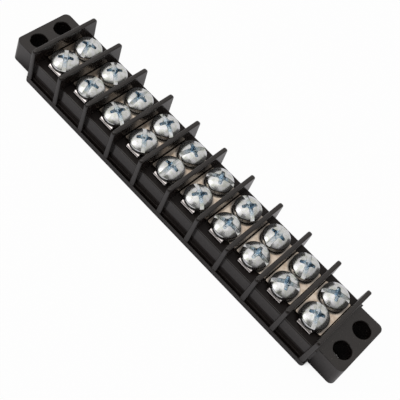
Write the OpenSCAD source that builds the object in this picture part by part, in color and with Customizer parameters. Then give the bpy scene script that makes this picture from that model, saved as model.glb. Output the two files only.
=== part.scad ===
// Double-row barrier terminal strip: one moulded housing with tall barriers
// between the positions, a plated link bar across each position and a combination-head
// screw at each end of every link bar. Millimetres, +Z up, length along X, centred on X and Y.

/* [Strip] */
// Distance between neighbouring positions
pitch = 9.525; // [9.2:0.025:11.2]
// Number of positions, each with one link bar and two screws
positions = 10; // [2:1:19]
// Overall height, from the mounting face to the barrier tops
overall_height = 11.7; // [11.2:0.1:14]
// Overall width of the base, lip to lip
base_width = 21; // [20.6:0.1:24]

/* [Housing block] */
// Height of the deck that the link bars lie on
deck_height = 7; // [6.4:0.1:7.4]
// Inward lean of each side wall, from its foot to the deck
wall_lean = 0.45; // [0.05:0.05:0.6]
// Small bevel along the deck's long edges
deck_bevel = 0.25; // [0.1:0.05:0.4]
// Height of the lip along the foot of each side
lip_height = 1.6; // [1.3:0.1:2]
// Thickness of the lip
lip_width = 0.3; // [0.25:0.05:0.5]
// Width of the groove behind the lip
groove_width = 0.35; // [0.25:0.05:0.5]
// Height of the groove's floor
groove_floor = 0.9; // [0.6:0.1:1.1]
// Width of the ledge between the groove and the side wall
ledge_width = 0.5; // [0.3:0.05:0.7]
// Height of the ledge
ledge_height = 2.35; // [2.1:0.05:3]
// How far the base runs past the centre of each end barrier
base_overrun = 1.2; // [1:0.1:1.8]
// Corner radius of the base in plan
base_corner = 0.9; // [0.5:0.1:1.1]

/* [Barriers] */
// Width of a barrier across the strip, at its top
barrier_top_width = 20; // [19.4:0.1:20.4]
// Thickness of a barrier at its top
barrier_top_thickness = 1.15; // [1:0.05:1.3]
// Thickness of a barrier at its foot
barrier_foot_thickness = 1.6; // [1.4:0.05:1.9]
// Radius of the two upper corners of a barrier
barrier_corner = 0.9; // [0.4:0.1:1.2]
// Radius along the two top edges of a barrier
barrier_edge = 0.3; // [0.1:0.05:0.4]

/* [Mounting lugs] */
// Length of a lug at its foot, from the end barrier's centre
lug_length = 8.7; // [8.2:0.1:10]
// Width of a lug at its foot
lug_width = 16.7; // [15.5:0.1:17.5]
// Height of a lug
lug_height = 7; // [5:0.1:8]
// Inward lean of a lug's outer end, from foot to top
lug_end_lean = 0.5; // [0.1:0.1:0.8]
// Inward lean of a lug's two sides, from foot to top
lug_side_lean = 0.08; // [0.04:0.02:0.3]
// Radius of a lug's upright corners
lug_corner = 1.4; // [1:0.1:2]
// Diameter of a mounting hole
hole_diameter = 4.5; // [3.7:0.1:4.8]
// Bevel at both mouths of a mounting hole
hole_bevel = 0.15; // [0.1:0.05:0.3]
// Distance of the mounting holes from the end barrier's centre
hole_setback = 4.76; // [4.2:0.01:5.4]
// Distance between the two mounting holes of one lug
hole_spacing = 7.5; // [6.6:0.1:8.6]

/* [Link bars] */
// Thickness of the bar's metal
bar_thickness = 0.8; // [0.6:0.05:1]
// Length of the bar's full-width part
bar_length = 11.8; // [11.2:0.1:12.4]
// Free space between the bar and the barrier on each side
bar_clearance = 0.2; // [0.1:0.05:0.3]
// Width of the tongue at each end of the bar
tongue_width = 4; // [3.2:0.1:5]
// How far each tongue runs past the full-width part
tongue_reach = 1.4; // [1.3:0.05:1.6]
// Inner radius of the tongue's bend
tongue_bend = 0.15; // [0.1:0.05:0.2]
// Depth that the tongue reaches below the deck
tongue_depth = 1.3; // [0.8:0.1:2]
// Free space around a tongue in its slot
slot_clearance = 0.1; // [0.1:0.05:0.15]
// Wall of the tapped collar drawn down under each screw
collar_wall = 0.35; // [0.25:0.05:0.4]
// Depth of the collar below the bar
collar_depth = 1.2; // [0.8:0.1:1.5]
// Free space around a collar in its well
well_clearance = 0.15; // [0.1:0.05:0.2]

/* [Screws] */
// Distance between the two screws of one position
screw_spacing = 7.6; // [7.4:0.1:8]
// Diameter of the screw head
head_diameter = 7; // [6.2:0.1:7.2]
// Height of the head's upright side
head_side = 1.4; // [1.1:0.1:1.7]
// Height of the head's dome above its side
head_dome = 1.3; // [1:0.05:1.5]
// Width of the straight slot across the head
slot_width = 1; // [0.8:0.05:1.2]
// Depth of the straight slot below the top of the dome
slot_depth = 1.5; // [1.2:0.05:1.7]
// Span of the cross recess at the top of the dome
cross_span = 4.4; // [3.6:0.1:4.8]
// Span of the cross recess at its bottom
cross_bottom_span = 1.7; // [1.4:0.1:2.2]
// Width of a wing of the cross recess
cross_width = 0.95; // [0.8:0.05:1.1]
// Depth of the cross recess below the top of the dome
cross_depth = 2.1; // [1.7:0.1:2.3]
// Diameter of the screw's shank
shank_diameter = 3.2; // [3:0.05:3.3]
// Length of the shank under the head
shank_length = 5.5; // [4.5:0.1:5.8]
// Bevel at the tip of the shank
tip_bevel = 0.5; // [0.3:0.1:0.7]
// Free space around the shank where it passes the bar
thread_clearance = 0.1; // [0.1:0.05:0.15]
// Free depth of the well beyond the shank's tip
well_end_gap = 0.8; // [0.4:0.1:0.8]

/* [Hidden] */
// Turn of each screw's slot in degrees, as left by the assembler: front row, then rear row
front_turns = [-47, -73, -21, -47, 91, -32, 10, 7, 31, -62];
rear_turns = [-68, -35, 91, -22, 67, 29, -30, 92, -63, 27];

overlap = 0.01;
cut_excess = 1;
smooth = 64;
coarse = 32;

row_length = positions * pitch;
top_run = overall_height - lip_height;
foot_y = base_width / 2;
tip_y = barrier_top_width / 2;
groove_y = foot_y - lip_width;
ledge_y = groove_y - groove_width;
wall_foot_y = ledge_y - ledge_width;
deck_y = wall_foot_y - wall_lean;
half_base_length = row_length / 2 + base_overrun;
lug_end_x = row_length / 2 + lug_length;
bar_top = deck_height + bar_thickness;
barrier_at_deck = barrier_foot_thickness
    - (barrier_foot_thickness - barrier_top_thickness) * deck_height / overall_height;
bar_width = pitch - barrier_at_deck - 2 * bar_clearance;
head_height = head_side + head_dome;
head_radius = head_diameter / 2;
dome_radius = (head_radius * head_radius + head_dome * head_dome) / (2 * head_dome);
tongue_outer = bar_length / 2 + tongue_reach;
bend_radius = tongue_bend + bar_thickness;
tapped_diameter = shank_diameter + 2 * thread_clearance;
collar_diameter = tapped_diameter + 2 * collar_wall;
well_diameter = collar_diameter + 2 * well_clearance;
well_floor = bar_top - shank_length - well_end_gap;

function position_x(i) = (i - (positions - 1) / 2) * pitch;
function barrier_x(i) = (i - positions / 2) * pitch;
function two_digits(i) = str(i < 10 ? "0" : "", i);
function turn_of(turns, i) = turns[i % len(turns)];

BAR_NAMES = [for (i = [1:positions]) str("link_bar_", two_digits(i))];
FRONT_NAMES = [for (i = [1:positions]) str("screw_front_", two_digits(i))];
REAR_NAMES = [for (i = [1:positions]) str("screw_rear_", two_digits(i))];

// Turns a profile drawn as (y, z) into a bar along X, centred on X = 0.
module along_x(length) {
    rotate([90, 0, 90])
        linear_extrude(height = length, center = true)
            children();
}

// Turns a profile drawn as (x, z) into a bar along Y, centred on Y = 0.
module along_y(length) {
    rotate([90, 0, 0])
        linear_extrude(height = length, center = true)
            children();
}

// Flat shape with straight leaning sides and two rounded upper corners.
module rounded_taper(foot, top, height, radius) {
    lean = atan2((foot - top) / 2, height);
    face = [cos(lean), sin(lean)];
    centre_x = (face * [top / 2, height] - radius - face[1] * (height - radius)) / face[0];
    touch = [centre_x, height - radius] + radius * face;
    polygon([
        [-foot / 2, 0], [foot / 2, 0], touch, [centre_x, height],
        [-centre_x, height], [-touch[0], touch[1]]
    ]);
    for (side = [-1, 1])
        translate([side * centre_x, height - radius])
            circle(r = radius, $fn = smooth);
}

// Flat rectangle with four rounded corners.
module rounded_plan(length, width, radius) {
    square([length - 2 * radius, width], center = true);
    square([length, width - 2 * radius], center = true);
    for (x = [-1, 1], y = [-1, 1])
        translate([x * (length / 2 - radius), y * (width / 2 - radius)])
            circle(r = radius, $fn = smooth);
}

// Cross section of the base and block: lip, groove, ledge, leaning wall and deck.
module block_profile() {
    half = [
        [foot_y, 0], [foot_y, lip_height], [groove_y, lip_height], [groove_y, groove_floor],
        [ledge_y, groove_floor], [ledge_y, ledge_height], [wall_foot_y, ledge_height],
        [deck_y, deck_height - deck_bevel], [deck_y - deck_bevel, deck_height]
    ];
    mirrored = [for (k = [len(half) - 1:-1:0]) [-half[k][0], half[k][1]]];
    polygon(concat(half, mirrored));
}

// Base and block, with the base's corners rounded in plan.
module block() {
    intersection() {
        along_x(2 * half_base_length)
            block_profile();
        linear_extrude(height = overall_height)
            rounded_plan(2 * half_base_length, base_width, base_corner);
    }
}

// All barriers at once: a comb of drafted blades, cut to the blade's own outline.
module barriers() {
    intersection() {
        along_y(base_width + cut_excess)
            for (i = [0:positions])
                translate([barrier_x(i), 0])
                    rounded_taper(barrier_foot_thickness, barrier_top_thickness,
                        overall_height, barrier_edge);
        along_x(row_length + 2 * base_overrun) {
            translate([0, lip_height])
                rounded_taper(base_width, barrier_top_width, top_run, barrier_corner);
            translate([0, lip_height / 2])
                square([base_width, lip_height + overlap], center = true);
        }
    }
}

// One leaning slice of a lug at the given height, reaching into the block.
module lug_slice(z) {
    rise = z / lug_height;
    end = lug_length - lug_end_lean * rise;
    width = lug_width - 2 * lug_side_lean * rise;
    translate([0, 0, min(z, lug_height - overlap)])
        linear_extrude(height = overlap) {
            for (y = [-1, 1])
                translate([end - lug_corner, y * (width / 2 - lug_corner)])
                    circle(r = lug_corner, $fn = coarse);
            translate([0, -width / 2])
                square([overlap, width]);
        }
}

// Mounting lug at the +X end, standing on the mounting face.
module lug() {
    translate([row_length / 2, 0, 0])
        hull() {
            lug_slice(0);
            lug_slice(lug_height);
        }
}

// Upright mounting hole with a bevel at each mouth.
module mounting_hole() {
    bore = hole_diameter / 2;
    wide = bore + 2 * hole_bevel;
    translate([0, 0, -cut_excess])
        cylinder(r = bore, h = lug_height + 2 * cut_excess, $fn = smooth);
    translate([0, 0, lug_height - hole_bevel])
        cylinder(r1 = bore, r2 = wide, h = 2 * hole_bevel, $fn = smooth);
    translate([0, 0, -hole_bevel])
        cylinder(r1 = wide, r2 = bore, h = 2 * hole_bevel, $fn = smooth);
}

// Well under a screw and slot for one bent tongue, at the +Y end of a position.
module position_cuts() {
    slot_size = [
        tongue_width + 2 * slot_clearance,
        bar_thickness + 2 * slot_clearance,
        tongue_depth + slot_clearance + cut_excess
    ];
    translate([0, screw_spacing / 2, well_floor])
        cylinder(d = well_diameter, h = overall_height, $fn = smooth);
    translate([0, tongue_outer - bar_thickness / 2, deck_height + cut_excess - slot_size[2] / 2])
        cube(slot_size, center = true);
}

// The one moulded piece: block, barriers and lugs, less wells, slots and mounting holes.
module housing() {
    color("#2e2b2d")
    difference() {
        union() {
            block();
            barriers();
            lug();
            mirror([1, 0, 0])
                lug();
        }
        for (i = [0:positions - 1])
            translate([position_x(i), 0, 0]) {
                position_cuts();
                mirror([0, 1, 0])
                    position_cuts();
            }
        for (x = [-1, 1], y = [-1, 1])
            translate([x * (row_length / 2 + hole_setback), y * hole_spacing / 2, 0])
                mounting_hole();
    }
}

// Side view of a bent bar: flat top, round bends, two legs into the deck's slots.
module bar_profile() {
    bend_y = tongue_outer - bend_radius;
    bend_z = bar_top - bend_radius;
    leg_foot = deck_height - tongue_depth;
    translate([-bend_y, deck_height])
        square([2 * bend_y, bar_thickness]);
    for (side = [0, 1])
        mirror([side, 0]) {
            translate([bend_y, bend_z])
                intersection() {
                    difference() {
                        circle(r = bend_radius, $fn = smooth);
                        circle(r = tongue_bend, $fn = smooth);
                    }
                    square(bend_radius);
                }
            translate([tongue_outer - bar_thickness, leg_foot])
                square([bar_thickness, bend_z - leg_foot]);
        }
}

// Link bar of position i: full width under the screws, narrow tongues beyond,
// and a tapped collar drawn down into the well under each screw.
module link_bar(i) {
    color("#c9b5a2")
    translate([position_x(i), 0, 0])
        difference() {
            union() {
                along_x(tongue_width)
                    bar_profile();
                translate([-bar_width / 2, -bar_length / 2, deck_height])
                    cube([bar_width, bar_length, bar_thickness]);
                for (side = [-1, 1])
                    translate([0, side * screw_spacing / 2, deck_height - collar_depth])
                        cylinder(d = collar_diameter, h = collar_depth + overlap, $fn = smooth);
            }
            for (side = [-1, 1])
                translate([0, side * screw_spacing / 2, deck_height - collar_depth - cut_excess])
                    cylinder(d = tapped_diameter,
                        h = collar_depth + bar_thickness + 2 * cut_excess, $fn = smooth);
        }
}

// Side view of one wing of the cross recess, wide at the dome and narrow at the bottom.
module wing_profile() {
    slope = (cross_span - cross_bottom_span) / 2 / cross_depth;
    above = cross_span / 2 + slope * cut_excess;
    polygon([
        [-cross_bottom_span / 2, -cross_depth], [cross_bottom_span / 2, -cross_depth],
        [above, cut_excess], [-above, cut_excess]
    ]);
}

// Pan-head screw standing on Z = 0 under its head, with slot and cross recess.
module screw() {
    difference() {
        union() {
            rotate_extrude($fn = smooth)
                intersection() {
                    square([head_radius, head_height]);
                    translate([0, head_height - dome_radius])
                        circle(r = dome_radius, $fn = 4 * smooth);
                }
            translate([0, 0, -shank_length + tip_bevel])
                cylinder(d = shank_diameter, h = shank_length - tip_bevel + overlap, $fn = smooth);
            translate([0, 0, -shank_length])
                cylinder(r1 = shank_diameter / 2 - tip_bevel, r2 = shank_diameter / 2,
                    h = tip_bevel, $fn = smooth);
        }
        translate([-head_diameter, -slot_width / 2, head_height - slot_depth])
            cube([2 * head_diameter, slot_width, slot_depth + cut_excess]);
        translate([0, 0, head_height])
            for (quarter = [0, 90])
                rotate([0, 0, quarter])
                    along_y(cross_width)
                        wing_profile();
    }
}

// Screw of position i, front row at side -1 and rear row at side +1.
module placed_screw(i, side, turns) {
    color("#d4d6d8")
    translate([position_x(i), side * screw_spacing / 2, bar_top])
        rotate([0, 0, turn_of(turns, i)])
            screw();
}

housing();
for (i = [0:positions - 1]) {
    link_bar(i);
    placed_screw(i, -1, front_turns);
    placed_screw(i, 1, rear_turns);
}
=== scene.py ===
"""Looks of a double-row barrier terminal strip, dressed around its packed construction.

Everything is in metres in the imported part's own frame: X runs along the row of positions, Y across
the strip and Z up from the mounting face. The moulded housing, the row of link bars and every screw
are rebuilt with rounded edges, bends, recesses and threads, each on the body that carries it.
"""

from __future__ import annotations

import logging
import math
from dataclasses import dataclass
from enum import Enum
from typing import Callable, Sequence

import bmesh
import bpy
from mathutils import Euler, Matrix, Vector


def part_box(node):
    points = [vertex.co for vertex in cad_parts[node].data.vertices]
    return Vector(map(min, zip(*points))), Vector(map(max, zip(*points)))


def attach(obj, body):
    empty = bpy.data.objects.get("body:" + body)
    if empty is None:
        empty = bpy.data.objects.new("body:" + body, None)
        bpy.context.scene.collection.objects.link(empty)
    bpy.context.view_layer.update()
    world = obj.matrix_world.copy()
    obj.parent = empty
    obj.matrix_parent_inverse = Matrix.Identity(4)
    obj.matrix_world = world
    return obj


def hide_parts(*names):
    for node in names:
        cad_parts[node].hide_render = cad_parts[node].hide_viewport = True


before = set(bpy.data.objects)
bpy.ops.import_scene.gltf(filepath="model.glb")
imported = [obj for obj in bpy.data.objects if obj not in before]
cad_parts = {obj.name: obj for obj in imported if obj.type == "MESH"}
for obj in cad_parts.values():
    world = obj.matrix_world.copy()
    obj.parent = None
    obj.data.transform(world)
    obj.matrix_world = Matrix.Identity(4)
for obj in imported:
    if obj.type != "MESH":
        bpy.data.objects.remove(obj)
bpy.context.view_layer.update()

LOG = logging.getLogger("terminal_strip")
MM = 0.001
EPS = 0.002 * MM
RECESS = "recess"
WHITE = (1.0, 1.0, 1.0, 1.0)

Colour = tuple[float, float, float, float]
Range = tuple[float, float]
Ring = list[bmesh.types.BMVert]
Shape = bmesh.types.BMesh
Piece = bpy.types.Object
Socket = bpy.types.NodeSocket


class Row(Enum):
    """The two rows of screws."""

    FRONT = "front"
    REAR = "rear"


class Slot(Enum):
    """The record's material slots."""

    HOUSING = "housing_plastic"
    LINK = "tinned_brass"
    SCREW = "zinc_steel"


# Mesh helpers


def link(name: str, data: bpy.types.ID) -> Piece:
    """Puts a new object with the given data into the scene."""
    made = bpy.data.objects.new(name, data)
    bpy.context.scene.collection.objects.link(made)
    return made


def object_from(bm: Shape, name: str) -> Piece:
    """Turns a bmesh into an object of the scene, with its faces pointing outwards.

    Args:
        bm: The finished bmesh, which is freed.
        name: Name of the new object and its mesh.

    Returns:
        The new object, at the origin.
    """
    bmesh.ops.remove_doubles(bm, verts=bm.verts[:], dist=1e-8)
    bmesh.ops.recalc_face_normals(bm, faces=bm.faces[:])
    mesh = bpy.data.meshes.new(name)
    bm.to_mesh(mesh)
    bm.free()
    return link(name, mesh)


def drop(*objects: Piece) -> None:
    """Removes helper objects and their meshes."""
    for item in objects:
        mesh = item.data
        bpy.data.objects.remove(item)
        if mesh.users == 0:
            bpy.data.meshes.remove(mesh)


def settle(source: Piece, name: str) -> Piece:
    """Turns an object with live modifiers into a plain mesh object and removes the source.

    Args:
        source: The object whose evaluated mesh is wanted.
        name: Name of the plain object.

    Returns:
        The plain object, with no modifiers.
    """
    graph = bpy.context.evaluated_depsgraph_get()
    graph.update()
    mesh = bpy.data.meshes.new_from_object(source.evaluated_get(graph), depsgraph=graph)
    mesh.name = name
    drop(source)
    return link(name, mesh)


def carve(base: Piece, name: str, *steps: tuple[Piece, str]) -> Piece:
    """Joins tools to an object, or cuts it with them, in turn.

    Args:
        base: The object that is worked on, which is used up.
        name: Name of the result.
        *steps: Each tool, which is used up, with UNION, DIFFERENCE or INTERSECT.

    Returns:
        The plain result.
    """
    for tool, operation in steps:
        step = base.modifiers.new(operation.lower(), "BOOLEAN")
        step.operation = operation
        step.solver = "EXACT"
        step.object = tool
        tool.hide_render = True
    made = settle(base, name)
    drop(*(tool for tool, _ in steps))
    return made


def smooth_by_angle(item: Piece, degrees: float) -> Piece:
    """Shades a mesh smooth, with edges over the given angle kept sharp and flat faces kept flat."""
    item.data.shade_smooth()
    item.data.set_sharp_from_angle(angle=math.radians(degrees))
    weigh = item.modifiers.new("flat_faces", "WEIGHTED_NORMAL")
    weigh.keep_sharp = True
    weigh.weight = 100
    return settle(item, item.name)


def round_corners(corners: Sequence[tuple[float, float, float]], steps: int) -> list[Range]:
    """Rounds the corners of a closed outline.

    Args:
        corners: Corner places and their radii, as (a, b, radius).
        steps: Straight pieces in each rounded corner.

    Returns:
        The outline's points, in the same order.
    """
    outline: list[Range] = []
    count = len(corners)
    for index, (a, b, radius) in enumerate(corners):
        here = Vector((a, b))
        if radius <= 0:
            outline.append((a, b))
            continue
        before = (Vector(corners[index - 1][:2]) - here).normalized()
        after = (Vector(corners[(index + 1) % count][:2]) - here).normalized()
        half_angle = before.angle(after) / 2
        reach = radius / math.tan(half_angle)
        middle = here + (before + after).normalized() * (radius / math.sin(half_angle))
        start = here + before * reach - middle
        end = here + after * reach - middle
        sweep = start.angle_signed(end)
        for step in range(steps + 1):
            turned = start.copy()
            turned.rotate(Matrix.Rotation(-sweep * step / steps, 2))
            outline.append(tuple(middle + turned))
    return outline


def bridge(bm: Shape, rings: Sequence[Ring]) -> tuple[bmesh.types.BMFace, bmesh.types.BMFace]:
    """Skins the gaps between rings of vertices, closes both ends and gives the two end faces."""
    for first, second in zip(rings, rings[1:]):
        for index in range(len(first)):
            after = (index + 1) % len(first)
            bm.faces.new((first[index], first[after], second[after], second[index]))
    return bm.faces.new(rings[0]), bm.faces.new(rings[-1])


def prism(
    bm: Shape,
    outline: Sequence[Range],
    low: float,
    high: float,
    place: Callable[[float, float, float], Vector] = lambda x, y, z: Vector((x, y, z)),
) -> None:
    """Adds a closed prism between two copies of an outline.

    Args:
        bm: The bmesh that receives the prism.
        outline: The outline's points, as (a, b).
        low: Depth of the first copy.
        high: Depth of the second copy.
        place: Gives the place of (a, b, depth).
    """
    bridge(bm, [[bm.verts.new(place(a, b, depth)) for a, b in outline] for depth in (low, high)])


def round_rims(bm: Shape, rims: list[bmesh.types.BMEdge], width: float, segments: int) -> None:
    """Rounds some edges of a bmesh."""
    bmesh.ops.bevel(
        bm,
        geom=rims,
        offset=width,
        segments=segments,
        profile=0.5,
        affect="EDGES",
        clamp_overlap=True,
    )


def revolve(bm: Shape, profile: Sequence[Range], steps: int, centre: Vector) -> None:
    """Adds a closed solid of revolution about an upright axis.

    Args:
        bm: The bmesh that receives the solid.
        profile: Points (radius, height) from the bottom of the axis to its top.
        steps: Number of sectors.
        centre: The axis's foot.
    """
    turns = [2 * math.pi * step / steps for step in range(steps)]
    rings: list[Ring] = []
    for radius, height in profile:
        spokes = [Vector((radius * math.cos(t), radius * math.sin(t), height)) for t in turns]
        if radius < EPS:
            spokes = [Vector((0, 0, height))]
        rings.append([bm.verts.new(centre + spoke) for spoke in spokes])
    for lower, upper in zip(rings, rings[1:]):
        for step in range(steps):
            after = (step + 1) % steps
            corners = [
                lower[step % len(lower)],
                lower[after % len(lower)],
                upper[after % len(upper)],
                upper[step % len(upper)],
            ]
            bm.faces.new(list(dict.fromkeys(corners)))


def drum(bm: Shape, radius: float, low: float, high: float, centre: Vector) -> None:
    """Adds an upright cylinder between two heights."""
    revolve(bm, [(0, low), (radius, low), (radius, high), (0, high)], 40, centre)


def dress(piece: Piece, body: str, slot: Slot, *nodes: str) -> None:
    """Puts a finished piece on its body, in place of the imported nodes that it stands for."""
    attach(piece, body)
    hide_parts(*nodes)


# Node helpers and finishes


class Nodes:
    """Lays out the nodes of one tree."""

    def __init__(self, tree: bpy.types.NodeTree) -> None:
        """Starts on an empty tree."""
        self.tree = tree
        tree.nodes.clear()

    def add(
        self, kind: str, inputs: dict[str | int, object] | None = None, **settings: object
    ) -> bpy.types.Node:
        """Adds a node.

        Args:
            kind: The node's type.
            inputs: Socket names or numbers, each with a value or with the socket that feeds it.
            **settings: The node's own properties.

        Returns:
            The new node.
        """
        node = self.tree.nodes.new(kind)
        for key, value in settings.items():
            setattr(node, key, value)
        for key, value in (inputs or {}).items():
            if isinstance(value, Socket):
                self.tree.links.new(value, node.inputs[key])
            else:
                node.inputs[key].default_value = value
        return node

    def first(
        self, kind: str, inputs: dict[str | int, object] | None = None, **settings: object
    ) -> Socket:
        """Adds a node, as `add` does, and gives its first output."""
        return self.add(kind, inputs, **settings).outputs[0]

    def math(self, operation: str, *values: object) -> Socket:
        """Gives the result of one sum, product or other step on numbers."""
        return self.first("ShaderNodeMath", dict(enumerate(values)), operation=operation)

    def measure(self, operation: str, *vectors: object) -> Socket:
        """Gives a number worked out from vectors, such as a length."""
        node = self.add("ShaderNodeVectorMath", dict(enumerate(vectors)), operation=operation)
        return node.outputs["Value"]

    def span(self, factor: Socket, low: float, high: float, start: object, end: object) -> Socket:
        """Maps a factor from low..high to start..end."""
        return self.first("ShaderNodeMapRange", {0: factor, 1: low, 2: high, 3: start, 4: end})

    def blend(self, factor: Socket, first: object, second: object) -> Socket:
        """Mixes two colours by a factor."""
        mix = self.add("ShaderNodeMix", {0: factor, 6: first, 7: second}, data_type="RGBA")
        return mix.outputs[2]


class Material(Nodes):
    """One node material."""

    def __init__(self, name: str) -> None:
        """Starts the material, with the place on the object for its patterns."""
        self.made = bpy.data.materials.new(name)
        self.made.use_nodes = True
        super().__init__(self.made.node_tree)
        self.place = self.add("ShaderNodeTexCoord").outputs["Object"]

    def close(self, surface: Socket) -> bpy.types.Material:
        """Puts a shader on the output and gives the material."""
        self.add("ShaderNodeOutputMaterial", {"Surface": surface})
        return self.made

    def principled(self, **inputs: object) -> bpy.types.Material:
        """Closes the material on a principled shader, whose inputs have underscores for spaces."""
        named = {key.replace("_", " "): value for key, value in inputs.items()}
        return self.close(self.first("ShaderNodeBsdfPrincipled", named))

    def noise(self, size: float, detail: float = 2.0, stretch: Vector | None = None) -> Socket:
        """Gives a noise from 0 to 1 whose grains are about the given size in metres."""
        place = self.place
        if stretch is not None:
            place = self.first("ShaderNodeMapping", {"Vector": place, "Scale": stretch})
        grain = {"Vector": place, "Scale": 1 / size, "Detail": detail}
        return self.add("ShaderNodeTexNoise", grain).outputs["Fac"]

    def bump(self, height: Socket, depth: float, under: Socket | None = None) -> Socket:
        """Gives a bumped normal of the given depth in metres, on top of another one."""
        inputs: dict[str | int, object] = {"Height": height, "Distance": depth, "Strength": 1.0}
        if under is not None:
            inputs["Normal"] = under
        return self.first("ShaderNodeBump", inputs)


@dataclass(frozen=True)
class MouldedPlastic:
    """Black satin thermoplastic, with the fine grain and soft flow marks of a moulding."""

    name: str = "moulded_black_plastic"
    dark: Colour = (0.0105, 0.0073, 0.0064, 1)
    worn: Colour = (0.0155, 0.0115, 0.0105, 1)
    dust: Colour = (0.085, 0.075, 0.068, 1)
    roughness: Range = (0.16, 0.28)
    specular: float = 0.5
    refraction: float = 1.58
    cloud_size: float = 7 * MM
    flow_size: float = 2.2 * MM
    flow_depth: float = 0.008 * MM
    grain_size: float = 0.16 * MM
    grain_depth: float = 0.003 * MM
    dust_size: float = 0.42 * MM

    def build(self) -> bpy.types.Material:
        """Makes the material."""
        made = Material(self.name)
        cloud = made.noise(self.cloud_size, 3)
        flow = made.noise(self.flow_size, 4, Vector((0.35, 1, 1)))
        grain = made.noise(self.grain_size)
        fleck = made.noise(self.dust_size, 1)
        plain = made.blend(made.span(cloud, 0.35, 0.7, 0, 1), self.dark, self.worn)
        return made.principled(
            Base_Color=made.blend(made.span(fleck, 0.71, 0.8, 0, 1), plain, self.dust),
            Roughness=made.span(flow, 0.3, 0.7, *self.roughness),
            IOR=self.refraction,
            Specular_IOR_Level=self.specular,
            Normal=made.bump(grain, self.grain_depth, made.bump(flow, self.flow_depth)),
        )


@dataclass(frozen=True)
class TinnedBrass:
    """Tin over brass: dull silver with a warm cast, drawn along the sheet's rolling direction."""

    pitch: float
    screw_spacing: float
    name: str = "tinned_brass_sheet"
    tin: Colour = (0.85, 0.74, 0.62, 1)
    warm: Colour = (0.62, 0.5, 0.39, 1)
    # Colour of the painted highlight on the bent tongues.
    tongue_highlight: Colour = (0.96, 0.91, 0.9, 1)
    # Colour of the painted shade ring round each screw head.
    head_shade: Colour = (0.24, 0.22, 0.2, 1)
    tongue_start: float = 6.45 * MM
    tongue_blend: float = 0.2 * MM
    # Inner and outer radius of that painted shade ring.
    head_shade_reach: Range = (3.75 * MM, 4.35 * MM)
    roughness: Range = (0.1, 0.2)
    cloud_size: float = 1.8 * MM
    cloud_depth: float = 0.01 * MM
    drawn_size: float = 0.25 * MM
    drawn_depth: float = 0.0015 * MM

    def build(self) -> bpy.types.Material:
        """Makes the material: painted shade round each head, painted highlight on the tongues."""
        made = Material(self.name)
        cloud = made.noise(self.cloud_size, 3)
        drawn = made.noise(self.drawn_size, 3, Vector((1, 0.06, 1)))
        # Painted shade: a ring round each screw head is darkened, where the head's shadow falls on
        # the sheet.
        parts = made.add("ShaderNodeSeparateXYZ", {0: made.place}).outputs
        across = made.math("WRAP", parts["X"], self.pitch, 0.0)
        across = made.math("SUBTRACT", across, self.pitch / 2)
        out = made.math("ABSOLUTE", parts["Y"])
        along = made.math("SUBTRACT", out, self.screw_spacing / 2)
        from_screw = made.first("ShaderNodeCombineXYZ", {"X": across, "Y": along})
        clear = made.span(made.measure("LENGTH", from_screw), *self.head_shade_reach, 0, 1)
        # Painted highlight: the sheet is made lighter from the start of each tongue outwards.
        bent = made.span(out, self.tongue_start, self.tongue_start + self.tongue_blend, 0, 1)
        sheet = made.blend(made.span(cloud, 0.42, 0.62, 0, 1), self.tin, self.warm)
        sheet = made.blend(clear, self.head_shade, sheet)
        return made.principled(
            Base_Color=made.blend(bent, sheet, self.tongue_highlight),
            Metallic=1.0,
            Roughness=made.span(drawn, 0.25, 0.75, *self.roughness),
            Normal=made.bump(drawn, self.drawn_depth, made.bump(cloud, self.cloud_depth)),
        )


@dataclass(frozen=True)
class ZincPlate:
    """Bright zinc plating with a thin clear passivation, bluer where it pools in the recess."""

    name: str = "bright_zinc_plate"
    zinc: Colour = (0.81, 0.835, 0.86, 1)
    straw: Colour = (0.63, 0.665, 0.6, 1)
    lilac: Colour = (0.84, 0.82, 0.92, 1)
    pool: Colour = (0.34, 0.51, 0.65, 1)
    # Colour of the white flecks in the recess, which are painted glints.
    painted_glint: Colour = (0.88, 0.95, 1.0, 1)
    roughness: Range = (0.16, 0.29)
    cloud_size: float = 0.9 * MM
    cloud_depth: float = 0.02 * MM
    mottle_size: float = 0.35 * MM
    mottle_depth: float = 0.006 * MM
    fleck_size: float = 0.28 * MM

    def build(self) -> bpy.types.Material:
        """Makes the material, which reads how deep in the recess a point lies."""
        made = Material(self.name)
        cloud = made.noise(self.cloud_size, 3)
        mottle = made.noise(self.mottle_size, 3)
        fleck = made.noise(self.fleck_size)
        deep = made.add("ShaderNodeAttribute", attribute_name=RECESS).outputs["Fac"]
        plain = made.blend(made.span(cloud, 0.4, 0.65, 0, 1), self.zinc, self.straw)
        plain = made.blend(made.span(mottle, 0.5, 0.75, 0, 0.8), plain, self.lilac)
        # In the recess the blue of the pooled passivation is broken by painted glints.
        pool_and_painted_glint = made.blend(made.span(fleck, 0.45, 0.56, 0, 1), self.pool, self.painted_glint)
        return made.principled(
            Base_Color=made.blend(deep, plain, pool_and_painted_glint),
            Metallic=1.0,
            Roughness=made.span(mottle, 0.3, 0.7, *self.roughness),
            Normal=made.bump(mottle, self.mottle_depth, made.bump(cloud, self.cloud_depth)),
        )


# Geometry Nodes trees


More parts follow.
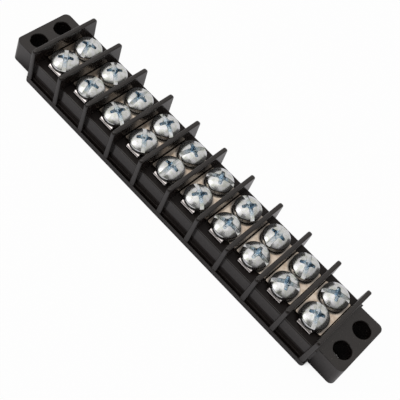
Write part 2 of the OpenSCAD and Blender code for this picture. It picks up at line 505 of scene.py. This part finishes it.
class Tree(Nodes):
    """A Geometry Nodes tree with named inputs, which ends in Realize Instances and Set Material."""

    def __init__(self, name: str, sizes: dict[str, str]) -> None:
        """Starts the tree.

        Args:
            name: The tree's name.
            sizes: Names of the inputs, each with its socket type.
        """
        self.group = bpy.data.node_groups.new(name, "GeometryNodeTree")
        super().__init__(self.group)
        kinds = {"Piece": "NodeSocketGeometry", **sizes, "Finish": "NodeSocketMaterial"}
        for key, kind in kinds.items():
            self.group.interface.new_socket(key, in_out="INPUT", socket_type=kind)
        self.group.interface.new_socket("Made", in_out="OUTPUT", socket_type="NodeSocketGeometry")
        self.start = self.add("NodeGroupInput").outputs

    def end(self, made: Socket) -> None:
        """Closes the tree on the geometry that it has made."""
        real = self.first("GeometryNodeRealizeInstances", {0: made})
        finish = {"Geometry": real, "Material": self.start["Finish"]}
        self.add("NodeGroupOutput", {0: self.first("GeometryNodeSetMaterial", finish)})

    def apply(self, source: Piece, name: str, values: dict[str, object]) -> Piece:
        """Runs the tree on an object and gives the result as a plain object.

        Args:
            source: The object that the tree starts from, which stays.
            name: Name of the result.
            values: A value for each named input.

        Returns:
            The plain object.
        """
        carrier = link(name + "_source", source.data)
        step = carrier.modifiers.new(self.group.name, "NODES")
        step.node_group = self.group
        for item in self.group.interface.items_tree:
            if item.item_type == "SOCKET" and item.in_out == "INPUT" and item.name in values:
                step[item.identifier] = values[item.name]
        return settle(carrier, name)


def row_tree() -> Tree:
    """Copies of a piece, evenly spaced along X and centred on it.

    Returns:
        The tree, with the inputs Count and Pitch.
    """
    tree = Tree("copies_along_row", {"Count": "NodeSocketInt", "Pitch": "NodeSocketFloat"})
    count, pitch = tree.start["Count"], tree.start["Pitch"]
    length = tree.math("MULTIPLY", tree.math("SUBTRACT", count, 1.0), pitch)
    start = tree.first("ShaderNodeCombineXYZ", {"X": tree.math("MULTIPLY", length, -0.5)})
    step = tree.first("ShaderNodeCombineXYZ", {"X": pitch})
    points = {"Count": count, "Start Location": start, "Offset": step}
    line = tree.first("GeometryNodeMeshLine", points)
    copies = {"Points": line, "Instance": tree.start["Piece"]}
    tree.end(tree.first("GeometryNodeInstanceOnPoints", copies))
    return tree


def screw_tree() -> Tree:
    """A screw: the headed blank, a rolled thread round it, and its turn and place.

    Returns:
        The tree, with named inputs for the thread's sizes, the turn and the place.
    """
    sizes = ("Turn", "Thread Turns", "Thread Pitch", "Thread Radius", "Thread Size", "Thread Foot")
    kinds = {"Place": "NodeSocketVector", **dict.fromkeys(sizes, "NodeSocketFloat")}
    tree = Tree("threaded_screw", kinds)
    start, first = tree.start, tree.first
    helix = first(
        "GeometryNodeCurveSpiral",
        {
            "Resolution": 24,
            "Rotations": start["Thread Turns"],
            "Start Radius": start["Thread Radius"],
            "End Radius": start["Thread Radius"],
            "Height": tree.math("MULTIPLY", start["Thread Turns"], start["Thread Pitch"]),
        },
    )
    along = tree.add("GeometryNodeSplineParameter").outputs["Factor"]
    from_end = tree.math("MINIMUM", along, tree.math("SUBTRACT", 1.0, along))
    taper = tree.span(from_end, 0.0, 0.06, 0.35, 1.0)
    tapered = first("GeometryNodeSetCurveRadius", {"Curve": helix, "Radius": taper})
    square = {"Resolution": 4, "Radius": start["Thread Size"]}
    ridge = first("GeometryNodeCurvePrimitiveCircle", square, mode="RADIUS")
    swept = {"Curve": tapered, "Profile Curve": ridge, "Fill Caps": True}
    thread = first("GeometryNodeCurveToMesh", swept)
    foot = first("ShaderNodeCombineXYZ", {"Z": start["Thread Foot"]})
    lowered = first("GeometryNodeTransform", {"Geometry": thread, "Translation": foot})
    whole = tree.add("GeometryNodeJoinGeometry")
    for part in (lowered, start["Piece"]):
        tree.tree.links.new(part, whole.inputs[0])
    turn = first("ShaderNodeCombineXYZ", {"Z": start["Turn"]})
    turned = first("GeometryNodeTransform", {"Geometry": whole.outputs[0], "Rotation": turn})
    placed = {"Geometry": turned, "Translation": start["Place"]}
    tree.end(first("GeometryNodeTransform", placed))
    return tree


# Sub-assemblies


@dataclass(frozen=True)
class Layout:
    """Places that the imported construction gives, in metres."""

    positions: int
    pitch: float
    bar_top: float
    housing_high: Vector

    @classmethod
    def from_frame(cls) -> Layout:
        """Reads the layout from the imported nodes."""
        bars = sorted(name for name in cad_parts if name.startswith("link_bar_"))
        first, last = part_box(bars[0]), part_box(bars[-1])
        return cls(
            positions=len(bars),
            pitch=(last[0].x - first[0].x) / (len(bars) - 1),
            bar_top=first[1].z,
            housing_high=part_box("housing")[1],
        )

    @property
    def row_half(self) -> float:
        """Half the distance between the two end barriers."""
        return self.positions * self.pitch / 2


@dataclass
class Housing:
    """The black moulding: block, barriers and drilled lugs."""

    layout: Layout
    deck_height: float = 7.0 * MM
    wall_lean: float = 0.35 * MM
    deck_round: float = 0.3 * MM
    lip_height: float = 1.6 * MM
    lip_width: float = 0.3 * MM
    groove_width: float = 0.35 * MM
    groove_floor: float = 0.9 * MM
    ledge_width: float = 0.5 * MM
    ledge_height: float = 2.35 * MM
    foot_top: float = 3.6 * MM
    base_overrun: float = 1.2 * MM
    base_corner: float = 0.9 * MM
    barrier_top_half: float = 10.15 * MM
    barrier_top_thickness: float = 1.15 * MM
    barrier_foot_thickness: float = 1.6 * MM
    barrier_foot_inset: float = 0.12 * MM
    barrier_corner: float = 0.9 * MM
    barrier_edge: float = 0.38 * MM
    lug_width: float = 16.7 * MM
    lug_height: float = 7.0 * MM
    lug_end_lean: float = 0.5 * MM
    lug_side_lean: float = 0.08 * MM
    lug_corner: float = 1.4 * MM
    lug_edge: float = 0.25 * MM
    hole_radius: float = 2.25 * MM
    hole_bevel: float = 0.15 * MM
    hole_setback: float = 4.76 * MM
    hole_spacing: float = 7.5 * MM
    screw_spacing: float = 7.6 * MM
    well_radius: float = 2.2 * MM
    well_floor: float = 1.5 * MM
    slot_length: float = 4.2 * MM
    slot_width: float = 1.0 * MM
    slot_floor: float = 5.6 * MM
    slot_centre: float = 6.9 * MM

    def block(self) -> Piece:
        """Builds the base and block from its cross section.

        Returns:
            The block, with its base's corners rounded in plan.
        """
        foot = self.layout.housing_high.y
        groove = foot - self.lip_width
        ledge = groove - self.groove_width
        wall = ledge - self.ledge_width
        deck = wall - self.wall_lean
        tiny = 0.06 * MM
        rise = (self.foot_top - self.ledge_height) / (self.deck_height - self.ledge_height)
        half = [
            (foot, 0.0, 0.0),
            (foot, self.lip_height, 0.12 * MM),
            (groove, self.lip_height, tiny),
            (groove, self.groove_floor, tiny),
            (ledge, self.groove_floor, tiny),
            (ledge, self.ledge_height, 0.12 * MM),
            (wall, self.ledge_height, 0.1 * MM),
            (wall - self.wall_lean * rise, self.foot_top, 0.0),
            (deck, self.deck_height, self.deck_round),
        ]
        mirrored = [(-y, z, radius) for y, z, radius in reversed(half)]
        reach = self.layout.row_half + self.base_overrun
        section = bmesh.new()
        outline = round_corners(half + mirrored, 4)
        prism(section, outline, -reach, reach, lambda y, z, x: Vector((x, y, z)))
        block = object_from(section, "block")
        plan = bmesh.new()
        corner = self.base_corner
        corners = [(x * reach, y * foot, corner) for x, y in ((1, -1), (1, 1), (-1, 1), (-1, -1))]
        prism(plan, round_corners(corners, 8), -1 * MM, self.layout.housing_high.z)
        keep = object_from(plan, "base_plan")
        return carve(block, "block", (keep, "INTERSECT"))

    def barrier(self) -> Piece:
        """Builds one barrier: a drafted blade with round corners and softened edges.

        Returns:
            The blade, centred on X.
        """
        top = self.layout.housing_high.z
        foot_half = self.layout.housing_high.y - self.barrier_foot_inset
        sunk = 0.4 * MM
        right = [
            (foot_half - 0.02 * MM, sunk, 0),
            (foot_half, self.lip_height, 0),
            (self.barrier_top_half, top, self.barrier_corner),
        ]
        outline = round_corners(right + [(-y, z, radius) for y, z, radius in reversed(right)], 8)

        def place(y: float, z: float, side: float) -> Vector:
            """Puts an outline point on one face of the blade."""
            share = z / top
            thick = self.barrier_foot_thickness * (1 - share) + self.barrier_top_thickness * share
            return Vector((side * thick / 2, y, z))

        bm = bmesh.new()
        prism(bm, outline, -1, 1, place)
        bmesh.ops.recalc_face_normals(bm, faces=bm.faces[:])
        rims = [
            edge
            for edge in bm.edges
            if edge.verts[0].co.x * edge.verts[1].co.x > 0
            and max(vert.co.z for vert in edge.verts) > sunk + EPS
        ]
        round_rims(bm, rims, self.barrier_edge, 4)
        return object_from(bm, "barrier")

    def lugs(self) -> Piece:
        """Builds both mounting lugs, tapered towards their tops.

        Returns:
            The two lugs as one object.
        """
        start = self.layout.row_half
        reach = self.layout.housing_high.x

        def outline(height: float) -> list[Range]:
            """Plan of the lug at one height."""
            rise = height / self.lug_height
            end = reach - self.lug_end_lean * rise
            half = self.lug_width / 2 - self.lug_side_lean * rise
            tips = [(end, -half, self.lug_corner), (end, half, self.lug_corner)]
            return round_corners([(start, -half, 0), *tips, (start, half, 0)], 10)

        bm = bmesh.new()
        for side in (-1, 1):
            rings = [
                [bm.verts.new(Vector((side * x, y, z))) for x, y in outline(z)]
                for z in (0.0, self.lug_height)
            ]
            top = bridge(bm, rings)[1]
            rim = [edge for edge in top.edges if max(abs(v.co.x) for v in edge.verts) > start + EPS]
            round_rims(bm, rim, self.lug_edge, 3)
        return object_from(bm, "lugs")

    def hole_tools(self) -> Piece:
        """Builds the cutters of the four mounting holes, flared at both mouths."""
        bm = bmesh.new()
        bore, flare, top, past = self.hole_radius, self.hole_bevel, self.lug_height, 1 * MM
        profile = [
            (0, -past),
            (bore + flare + past, -past),
            (bore, flare),
            (bore, top - flare),
            (bore + flare + past, top + past),
            (0, top + past),
        ]
        out, half = self.layout.row_half + self.hole_setback, self.hole_spacing / 2
        for x in (-out, out):
            for y in (-half, half):
                revolve(bm, profile, 48, Vector((x, y, 0)))
        return object_from(bm, "hole_tools")

    def position_tools(self) -> Piece:
        """Builds the cutters under one link bar: two screw wells and two tongue slots."""
        wells, slots = bmesh.new(), bmesh.new()
        high = self.deck_height + 1 * MM
        half_x, half_y = self.slot_length / 2, self.slot_width / 2
        for side in (-1, 1):
            centre = Vector((0, side * self.screw_spacing / 2, 0))
            drum(wells, self.well_radius, self.well_floor, high, centre)
            near, far = side * self.slot_centre - half_y, side * self.slot_centre + half_y
            outline = [(half_x, near), (half_x, far), (-half_x, far), (-half_x, near)]
            prism(slots, outline, self.slot_floor, high)
        tools, slot_tools = object_from(wells, "well_tools"), object_from(slots, "slot_tools")
        return carve(tools, "position_tools", (slot_tools, "UNION"))

    def in_recess(self, face: bpy.types.MeshPolygon) -> bool:
        """Tells whether a face is on the deck, or low behind the lip, where a less glossy copy of
        the plastic paints shade.
        """
        x, y, z = (abs(part) for part in face.center)
        inner = self.layout.row_half - self.barrier_foot_thickness / 2
        behind_lip = self.layout.housing_high.y - self.lip_width + EPS
        if x >= inner or y > behind_lip or not 0.5 * MM <= z < self.deck_height + EPS:
            return False
        return z < self.foot_top or (face.normal.z > 0.9 and z > self.deck_height - EPS)

    def build(self, row: Tree, finish: bpy.types.Material, dull: bpy.types.Material) -> Piece:
        """Joins and cuts the whole moulding and puts it on its body.

        Args:
            row: The tree that repeats a piece along the row.
            finish: The plastic.
            dull: A less glossy copy of the plastic for the recesses, painted shade.

        Returns:
            The finished moulding.
        """
        blade, tools, pitch = self.barrier(), self.position_tools(), self.layout.pitch
        spread = {"Count": self.layout.positions, "Pitch": pitch, "Finish": finish}
        blades = row.apply(blade, "barriers", {**spread, "Count": self.layout.positions + 1})
        wells = row.apply(tools, "wells", spread)
        lugs, holes, body = self.lugs(), self.hole_tools(), self.block()
        housing = carve(
            body,
            "housing_moulding",
            (lugs, "UNION"),
            (blades, "UNION"),
            (wells, "DIFFERENCE"),
            (holes, "DIFFERENCE"),
        )
        drop(blade, tools)
        housing.data.materials.clear()
        # Faces on the deck and low behind the lip get the less glossy copy of the plastic, as
        # painted shade.
        for surface in (finish, dull):
            housing.data.materials.append(surface)
        for face in housing.data.polygons:
            face.material_index = int(self.in_recess(face))
        housing = smooth_by_angle(housing, 40)
        dress(housing, "strip", Slot.HOUSING, "housing")
        LOG.info("housing: %d faces", len(housing.data.polygons))
        return housing


@dataclass
class LinkBars:
    """The row of plated link bars, each with two bent tongues and two tapped holes."""

    layout: Layout
    thickness: float = 0.8 * MM
    length: float = 11.8 * MM
    tongue_width: float = 4.0 * MM
    tongue_reach: float = 1.4 * MM
    bend_inner: float = 0.15 * MM
    screw_spacing: float = 7.6 * MM
    tapped_radius: float = 1.7 * MM
    collar_wall: float = 0.35 * MM
    collar_depth: float = 1.2 * MM
    corner: float = 0.35 * MM
    notch: float = 0.25 * MM
    edge: float = 0.07 * MM

    def sheet(self, width: float, foot: float) -> Shape:
        """Builds the sheet with its bent tongues.

        Args:
            width: Width of the sheet's full-width part.
            foot: Height of the tongues' ends.

        Returns:
            The closed sheet, before its holes.
        """
        top, under = self.layout.bar_top, self.layout.bar_top - self.thickness
        bend_outer = self.bend_inner + self.thickness
        bend_y = self.length / 2 + self.tongue_reach - bend_outer
        half, tongue, end = width / 2, self.tongue_width / 2, self.length / 2
        quarter = [
            (tongue, bend_y, 0.0),
            (tongue, end, min(self.notch, 0.9 * (bend_y - end))),
            (half, end, self.corner),
        ]
        right = quarter + [(x, -y, r) for x, y, r in reversed(quarter)]
        left = [(-x, -y, r) for x, y, r in right]
        bm = bmesh.new()
        prism(bm, round_corners(right + left, 4), under, top)
        bmesh.ops.recalc_face_normals(bm, faces=bm.faces[:])
        steps = 6
        for side in (-1, 1):
            face = max(bm.faces, key=lambda f: side * f.calc_center_median().y)
            axis = Vector((0, side * bend_y, top - bend_outer))
            turn = Matrix.Rotation(-side * math.pi / 2 / steps, 3, "X")
            for _ in range(steps):
                face = bmesh.ops.extrude_discrete_faces(bm, faces=[face])["faces"][0]
                bmesh.ops.rotate(bm, verts=face.verts, cent=axis, matrix=turn)
            face = bmesh.ops.extrude_discrete_faces(bm, faces=[face])["faces"][0]
            drop_by = foot - face.calc_center_median().z
            bmesh.ops.translate(bm, verts=face.verts, vec=Vector((0, 0, drop_by)))
        return bm

    def build(self, row: Tree, finish: bpy.types.Material) -> Piece:
        """Builds the row of bars and puts it on the strip.

        Args:
            row: The tree that repeats a piece along the row.
            finish: The plated metal.

        Returns:
            The row of bars.
        """
        names = [f"link_bar_{number:02d}" for number in range(1, self.layout.positions + 1)]
        low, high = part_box(names[0])
        bar = object_from(self.sheet(high.x - low.x, low.z), "link_bar")
        top, radius = self.layout.bar_top, self.tapped_radius
        bottom = top - self.thickness - self.collar_depth
        collars, bores = bmesh.new(), bmesh.new()
        for side in (-1, 1):
            centre = Vector((0, side * self.screw_spacing / 2, 0))
            drum(collars, radius + self.collar_wall, bottom, top - self.thickness / 2, centre)
            drum(bores, radius, bottom - 1 * MM, top + 1 * MM, centre)
        add, cut = object_from(collars, "collars"), object_from(bores, "bores")
        bar = carve(bar, "link_bar", (add, "UNION"), (cut, "DIFFERENCE"))
        soften = bar.modifiers.new("edges", "BEVEL")
        soften.width = self.edge
        soften.segments = 2
        soften.limit_method = "ANGLE"
        soften.angle_limit = math.radians(50)
        bar = smooth_by_angle(settle(bar, "link_bar"), 35)
        spread = {"Count": self.layout.positions, "Pitch": self.layout.pitch, "Finish": finish}
        bars = row.apply(bar, "link_bars", spread)
        drop(bar)
        dress(bars, "strip", Slot.LINK, *names)
        LOG.info("link bars: %d in one piece, %d faces", len(names), len(bars.data.polygons))
        return bars


@dataclass
class Screws:
    """The pan-head terminal screws, with a straight slot crossed by a cross recess."""

    layout: Layout
    head_radius: float = 3.5 * MM
    head_side: float = 1.4 * MM
    head_height: float = 2.7 * MM
    rim_round: float = 0.5 * MM
    under_round: float = 0.35 * MM
    slot_half: float = 0.5 * MM
    slot_depth: float = 1.5 * MM
    wing_half: float = 0.47 * MM
    wing_floor_half: float = 0.34 * MM
    wing_reach: float = 2.0 * MM
    wing_floor_reach: float = 0.85 * MM
    wing_depth: float = 2.1 * MM
    middle_reach: float = 1.45 * MM
    mouth_bevel: float = 0.07 * MM
    shank_length: float = 5.5 * MM
    core_radius: float = 1.32 * MM
    thread_radius: float = 1.36 * MM
    thread_size: float = 0.3 * MM
    thread_pitch: float = 0.79 * MM
    crest_inset: float = 0.35 * MM
    turns: tuple[tuple[Row, tuple[float, ...]], ...] = (
        (Row.FRONT, (-47, -73, -21, -47, 91, -32, 10, 7, 31, -62)),
        (Row.REAR, (-68, -35, 91, -22, 67, 29, -30, 92, -63, 27)),
    )

    @property
    def dome_radius(self) -> float:
        """Radius of the dome's sphere."""
        rise = self.head_height - self.head_side
        return (self.head_radius**2 + rise**2) / (2 * rise)

    @property
    def rim_centre(self) -> Range:
        """Radius and height of the centre of the rounding between the dome and the side."""
        sphere, small = self.dome_radius, self.rim_round
        out = self.head_radius - small
        return out, self.head_height - sphere + math.sqrt((sphere - small) ** 2 - out**2)

    def dome_height(self, radius: float) -> float:
        """Height of the head's upper surface at a distance from the axis."""
        sphere, small = self.dome_radius, self.rim_round
        out, up = self.rim_centre
        if radius > sphere * out / (sphere - small):
            return up + math.sqrt(max(small**2 - (radius - out) ** 2, 0))
        return self.head_height - sphere + math.sqrt(max(sphere**2 - radius**2, 0))

    def blank_profile(self) -> list[Range]:
        """Profile of the headed blank from the shank's tip to the top of the dome."""
        tip, core, under = -self.shank_length, self.core_radius, self.under_round
        profile = [
            (0.0, tip),
            (core - 0.35 * MM, tip),
            (core, tip + 0.4 * MM),
            (core, -0.35 * MM),
            (1.58 * MM, -0.12 * MM),
            (1.6 * MM, 0.0),
        ]

        def arc(centre: Range, size: float, ends: Range, steps: int) -> list[Range]:
            """Points on an arc between two angles from the radius, both ends included."""
            (r, z), (start, end) = centre, ends
            turns = [start + (end - start) * step / steps for step in range(steps + 1)]
            return [(r + size * math.cos(turn), z + size * math.sin(turn)) for turn in turns]

        sphere, quarter = self.dome_radius, math.pi / 2
        centre = self.head_height - sphere
        meet = math.atan2(self.rim_centre[1] - centre, self.rim_centre[0])
        profile += arc((self.head_radius - under, under), under, (-quarter, 0), 4)
        profile += arc(self.rim_centre, self.rim_round, (0, meet), 6)
        return profile + arc((0, centre), sphere, (meet, quarter), 12)[1:]

    def groove(
        self,
        bm: Shape,
        stations: Sequence[tuple[float, float, float, float]],
        turn: float,
    ) -> None:
        """Adds one cutter that runs across the head and flares where it meets the dome.

        Args:
            bm: The bmesh that receives the cutter.
            stations: Places along the groove, as (place, floor height, floor half, mouth half).
            turn: Angle of the groove in degrees.
        """
        flare, reach, clear = self.mouth_bevel, 0.03 * MM, self.head_height + 1 * MM
        spin = Matrix.Rotation(math.radians(turn), 3, "Z")
        rings = []
        for place, floor, floor_half, mouth_half in stations:
            surface = self.dome_height(math.hypot(place, mouth_half))
            lower = max(surface - flare, floor + flare)
            half = [
                (floor_half, floor),
                (mouth_half, lower),
                (mouth_half + flare + reach, surface + reach),
                (mouth_half + flare + reach, clear),
            ]
            section = half + [(-y, z) for y, z in reversed(half)]
            rings.append([bm.verts.new(spin @ Vector((place, y, z))) for y, z in section])
        bridge(bm, rings)

    def recess_tools(self) -> list[Piece]:
        """Builds the cutters of the slot and of the cross recess's two wings and middle."""
        tools = []
        reach, floor = self.head_radius + 0.4 * MM, self.head_height - self.slot_depth
        bm = bmesh.new()
        half, steps = self.slot_half, 12
        places = [reach * step / steps for step in range(-steps, steps + 1)]
        stations = [(place, floor, half, half) for place in places]
        self.groove(bm, stations, 0)
        tools.append(object_from(bm, "slot_tool"))
        low = self.head_height - self.wing_depth
        for turn in (0, 90):
            bm = bmesh.new()
            stations = []
            for step in range(-8, 9):
                share = abs(step) / 8
                rise = max(2 * share - 1, 0)
                place = self.wing_floor_reach * min(2 * share, 1)
                place += (self.wing_reach - self.wing_floor_reach) * rise
                surface = self.dome_height(place)
                height = low + (surface + 0.05 * MM - low) * rise
                sign = 1 if step >= 0 else -1
                mouth = self.wing_half * (1.15 - 0.4 * share)
                floor_half = min(self.wing_floor_half, 0.8 * mouth)
                stations.append((sign * place, height, floor_half, mouth))
            self.groove(bm, stations, turn)
            tools.append(object_from(bm, f"wing_tool_{turn}"))
        bm = bmesh.new()
        clear = self.head_height + 1 * MM
        profile = [
            (0, low - 0.2 * MM),
            (0.42 * MM, low + 0.1 * MM),
            (self.middle_reach, self.head_height),
            (self.middle_reach, clear),
            (0, clear),
        ]
        revolve(bm, profile, 4, Vector())
        tools.append(object_from(bm, "middle_tool"))
        return tools

    def mark_recess(self, blank: Piece) -> None:
        """Writes how deep each point lies in the cross recess, for the plating's colour."""
        mesh = blank.data
        depth = mesh.attributes.new(RECESS, "FLOAT", "POINT")
        for vert in mesh.vertices:
            radius = math.hypot(vert.co.x, vert.co.y)
            below = self.dome_height(radius) - vert.co.z - 0.04 * MM
            near = min(max((self.wing_reach + 0.15 * MM - radius) / (0.4 * MM), 0), 1)
            share = min(max(below / (0.35 * MM), 0), 1) * near
            if abs(vert.co.y) < self.slot_half + 0.05 * MM:
                share *= 0.5
            depth.data[vert.index].value = share if vert.co.z > 0.2 * MM else 0.0

    def blank(self) -> Piece:
        """Builds the headed blank with its recess cut."""
        bm = bmesh.new()
        revolve(bm, self.blank_profile(), 64, Vector())
        blank = object_from(bm, "screw_blank")
        cuts = [(tool, "DIFFERENCE") for tool in self.recess_tools()]
        blank = carve(blank, "screw_blank", *cuts)
        self.mark_recess(blank)
        return smooth_by_angle(blank, 32)

    def build(self, finish: bpy.types.Material) -> list[Piece]:
        """Builds every screw on its own body.

        Args:
            finish: The plating.

        Returns:
            The screws.
        """
        blank, tree = self.blank(), screw_tree()
        made = []
        threaded = self.shank_length - 0.9 * MM
        values = {
            "Thread Turns": threaded / self.thread_pitch,
            "Thread Pitch": self.thread_pitch,
            "Thread Radius": self.thread_radius,
            "Thread Size": self.thread_size,
            "Thread Foot": -self.shank_length + self.crest_inset,
            "Finish": finish,
        }
        for row, turns in self.turns:
            for number, turn in enumerate(turns[: self.layout.positions], start=1):
                name = f"screw_{row.value}_{number:02d}"
                low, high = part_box(name)
                centre = (low + high) / 2
                values["Turn"] = math.radians(turn)
                values["Place"] = Vector((centre.x, centre.y, self.layout.bar_top))
                screw = tree.apply(blank, name + "_plated", values)
                dress(screw, name, Slot.SCREW, name)
                made.append(screw)
        LOG.info("screws: %d, %d faces each", len(made), len(made[0].data.polygons))
        drop(blank)
        return made


@dataclass
class Studio:
    """Floor, lights and camera."""

    lens: float = 72.6654
    place: tuple[float, float, float] = (43.775 * MM, -103.110 * MM, 163.901 * MM)
    turn: tuple[float, float, float] = (31.1756, -15.3206, 44.6677)
    sky: float = 0.72
    floor_white: float = 0.8
    sky_tone: Colour = (1.0, 0.965, 0.935, 1)
    floor_tone: Colour = (1.0, 0.97, 1.02, 1)
    key_place: tuple[float, float, float] = (-0.41, -0.365, 0.585)
    key_sky: float = 0.9
    card_place: tuple[float, float, float] = (-0.18, -0.06, 1.0)
    card_sky: float = 1.08
    floor_half: float = 1.5
    lens_shade: float = 42 * MM
    shade_colour: Colour = (0.2, 0.2, 0.2, 1)
    key_size: float = 0.34
    key_power: float = 0.26
    key_colour: tuple[float, float, float] = (1.0, 0.98, 0.95)
    near_sky: float = 0.2
    far_sky: float = 0.68
    foot_reach: float = 15 * MM
    shadow_reach: float = 12 * MM

    def floor(self) -> None:
        """Lays a plain white floor that keeps the object's shadow."""
        bm = bmesh.new()
        bmesh.ops.create_grid(bm, x_segments=1, y_segments=1, size=self.floor_half)
        bmesh.ops.translate(bm, verts=bm.verts[:], vec=Vector((0, 0, -0.02 * MM)))
        floor = object_from(bm, "floor")
        made = Material("floor_white")
        rays = made.add("ShaderNodeLightPath").outputs
        glossy = made.math("MAXIMUM", rays["Is Glossy Ray"], rays["Is Transmission Ray"])
        # Ambient occlusion paints shadow on the floor: it cuts the glow close to the strip and in
        # the lug holes, and dims the glow seen in reflections.
        open_share, open_close = (
            made.add("ShaderNodeAmbientOcclusion", {"Distance": reach}, samples=8).outputs["AO"]
            for reach in (self.foot_reach, self.shadow_reach)
        )
        near = made.span(made.measure("LENGTH", made.place), 0.09, 0.25, 0.38, 0.12)
        around = made.span(open_share, 0.45, 0.95, 0.2, 1.15)
        mirrored = made.math("MULTIPLY", glossy, made.math("MULTIPLY", near, around))
        direct = made.math("MULTIPLY", rays["Is Camera Ray"], 0.97)
        lit = made.span(open_close, 0.12, 0.4, 0, 1)
        share = made.math("MULTIPLY", made.math("MAXIMUM", mirrored, direct), lit)
        tone = made.blend(rays["Is Camera Ray"], self.floor_tone, WHITE)
        # Painted shade: in reflections the paint darkens towards the strip's foot.
        foot = made.span(open_share, 0.4, 0.85, 0.1, self.floor_white)
        white = made.span(glossy, 0, 1, self.floor_white, foot)
        glow = made.first("ShaderNodeEmission", {"Color": tone})
        paint = made.first("ShaderNodeBsdfDiffuse", {"Color": white})
        mix = made.first("ShaderNodeMixShader", {0: share, 1: paint, 2: glow})
        floor.data.materials.append(made.close(mix))

    def world(self) -> None:
        """Surrounds the scene with a pale sky.

        It is dimmer low on the near side and on the right, and brighter behind the key lamp and
        overhead. The camera sees it white.
        """
        world = bpy.data.worlds.new("pale_sky")
        world.use_nodes = True
        nodes = Nodes(world.node_tree)
        seen = nodes.add("ShaderNodeLightPath").outputs["Is Camera Ray"]
        way = nodes.add("ShaderNodeTexCoord").outputs["Object"]
        parts = nodes.add("ShaderNodeSeparateXYZ", {0: way}).outputs
        dim = nodes.span(parts["Y"], -0.45, -0.15, 1, 0)
        for band in ((0.02, 0.12, 0, 1), (0.7, 0.88, 1, 0)):
            dim = nodes.math("MULTIPLY", dim, nodes.span(parts["Z"], *band))
        level = nodes.span(dim, 0, 1, self.sky, self.near_sky * self.sky)
        for middle, edge, full, glow in (
            (self.key_place, 0.84, 0.93, self.key_sky),
            (self.card_place, 0.88, 0.95, self.card_sky),
        ):
            toward = nodes.measure("DOT_PRODUCT", way, Vector(middle).normalized())
            level = nodes.span(toward, edge, full, level, glow)
        level = nodes.math("MULTIPLY", level, nodes.span(parts["X"], 0.15, 0.6, 1, self.far_sky))
        sky = {
            "Color": nodes.blend(seen, self.sky_tone, WHITE),
            "Strength": nodes.span(seen, 0, 1, level, 1),
        }
        surface = nodes.first("ShaderNodeBackground", sky)
        nodes.add("ShaderNodeOutputWorld", {"Surface": surface})
        bpy.context.scene.world = world

    def lamp(self) -> None:
        """Hangs one round soft box that faces the strip."""
        light = bpy.data.lights.new("key_box", "AREA")
        light.shape = "DISK"
        light.size = self.key_size
        light.energy = self.key_power
        light.color = self.key_colour
        lamp = link("key_box", light)
        lamp.location = Vector(self.key_place)
        lamp.rotation_mode = "QUATERNION"
        lamp.rotation_quaternion = (-lamp.location).to_track_quat("-Z", "Y")

    def shade(self) -> None:
        """Stands a small dark disc at the lens, which only the polished heads show."""
        bm = bmesh.new()
        bmesh.ops.create_circle(bm, cap_ends=True, segments=32, radius=self.lens_shade)
        disc = object_from(bm, "lens_shade")
        place = Vector(self.place)
        turn = place.to_track_quat("Z", "Y").to_matrix().to_4x4()
        disc.data.transform(Matrix.Translation(place * 1.02) @ turn)
        disc.visible_camera = False
        disc.visible_shadow = False
        disc.visible_diffuse = False
        made = Material("lens_shade_black")
        dull = made.first("ShaderNodeBsdfDiffuse", {"Color": self.shade_colour})
        disc.data.materials.append(made.close(dull))

    def camera(self) -> None:
        """Sets up the camera."""
        data = bpy.data.cameras.new("camera")
        data.lens = self.lens
        data.clip_start = 1 * MM
        camera = link("camera", data)
        camera.location = Vector(self.place)
        camera.rotation_euler = Euler([math.radians(a) for a in self.turn], "XYZ")
        bpy.context.scene.camera = camera

    def build(self) -> None:
        """Sets up the whole studio."""
        self.camera()
        self.floor()
        self.world()
        self.shade()
        self.lamp()
        bpy.context.scene.view_settings.view_transform = "Standard"


def main() -> None:
    """Builds the studio and every sub-assembly in order."""
    logging.basicConfig(level=logging.INFO, format="%(name)s: %(message)s")
    Studio().build()
    layout = Layout.from_frame()
    row = row_tree()
    # A less glossy copy of the black plastic, painted shade for the deck and the low wall behind the
    # lip.
    recess = MouldedPlastic("moulded_black_painted_shade", roughness=(0.3, 0.42), specular=0.16)
    Housing(layout).build(row, MouldedPlastic().build(), recess.build())
    bars = LinkBars(layout)
    bars.build(row, TinnedBrass(layout.pitch, bars.screw_spacing).build())
    Screws(layout).build(ZincPlate().build())


if __name__ == "__main__":
    main()
